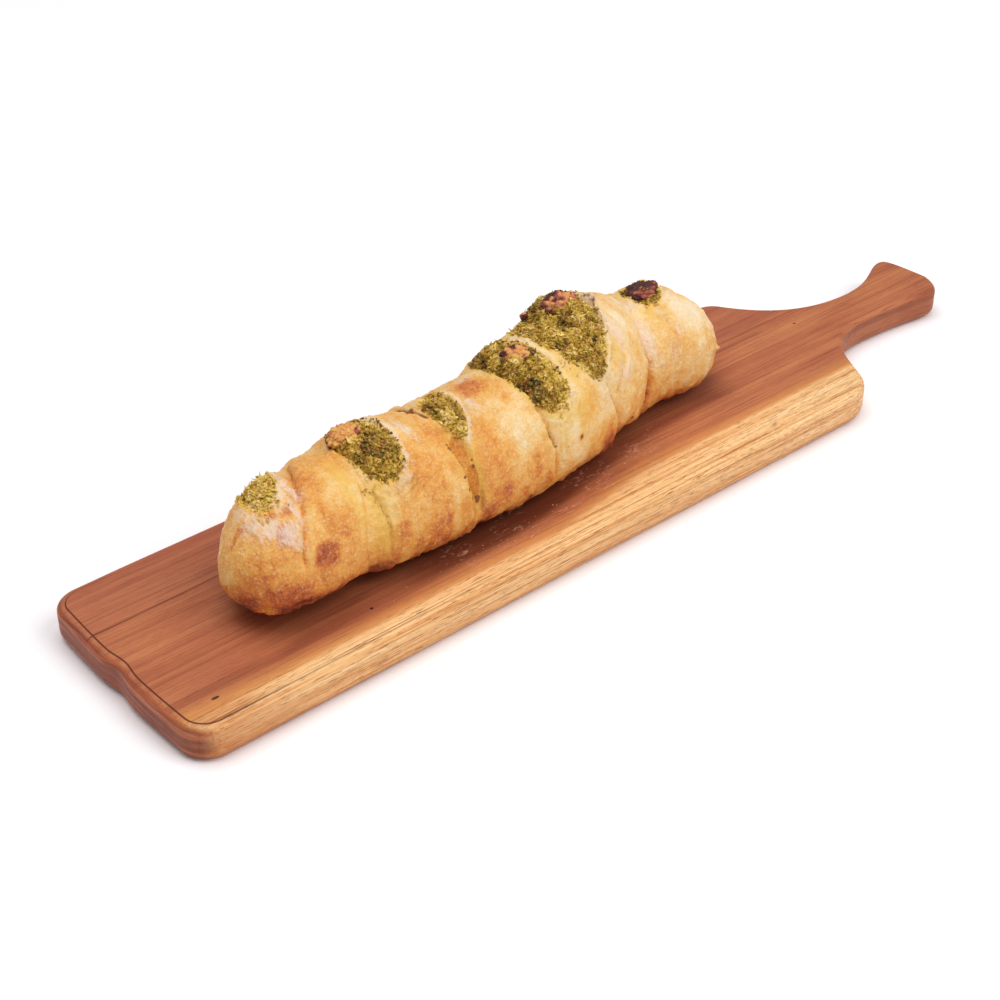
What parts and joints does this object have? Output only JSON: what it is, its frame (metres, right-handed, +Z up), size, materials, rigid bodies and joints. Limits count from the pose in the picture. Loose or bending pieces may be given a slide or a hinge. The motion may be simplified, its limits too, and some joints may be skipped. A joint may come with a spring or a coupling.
{
  "type": "herb-filled loaf on a serving board",
  "caption": "Long hand-rolled loaf with herb filling showing in diagonal openings along its top, lying on a wooden paddle board with a flared handle.",
  "frame": {"origin": "middle of the whole object's box, at the height of the board's underside", "axes": "+X along the board towards its handle, +Z up, so that -Y is the side that the loaf's openings face"},
  "size_m": [0.5566, 0.125, 0.0862],
  "materials": {
    "bread_crust": "satin",
    "herb_filling": "matte",
    "board_wood": "satin"
  },
  "bodies": {
    "root": {"loaf": "bread_crust", "serving_board": "board_wood"}
  },
  "joints": []
}
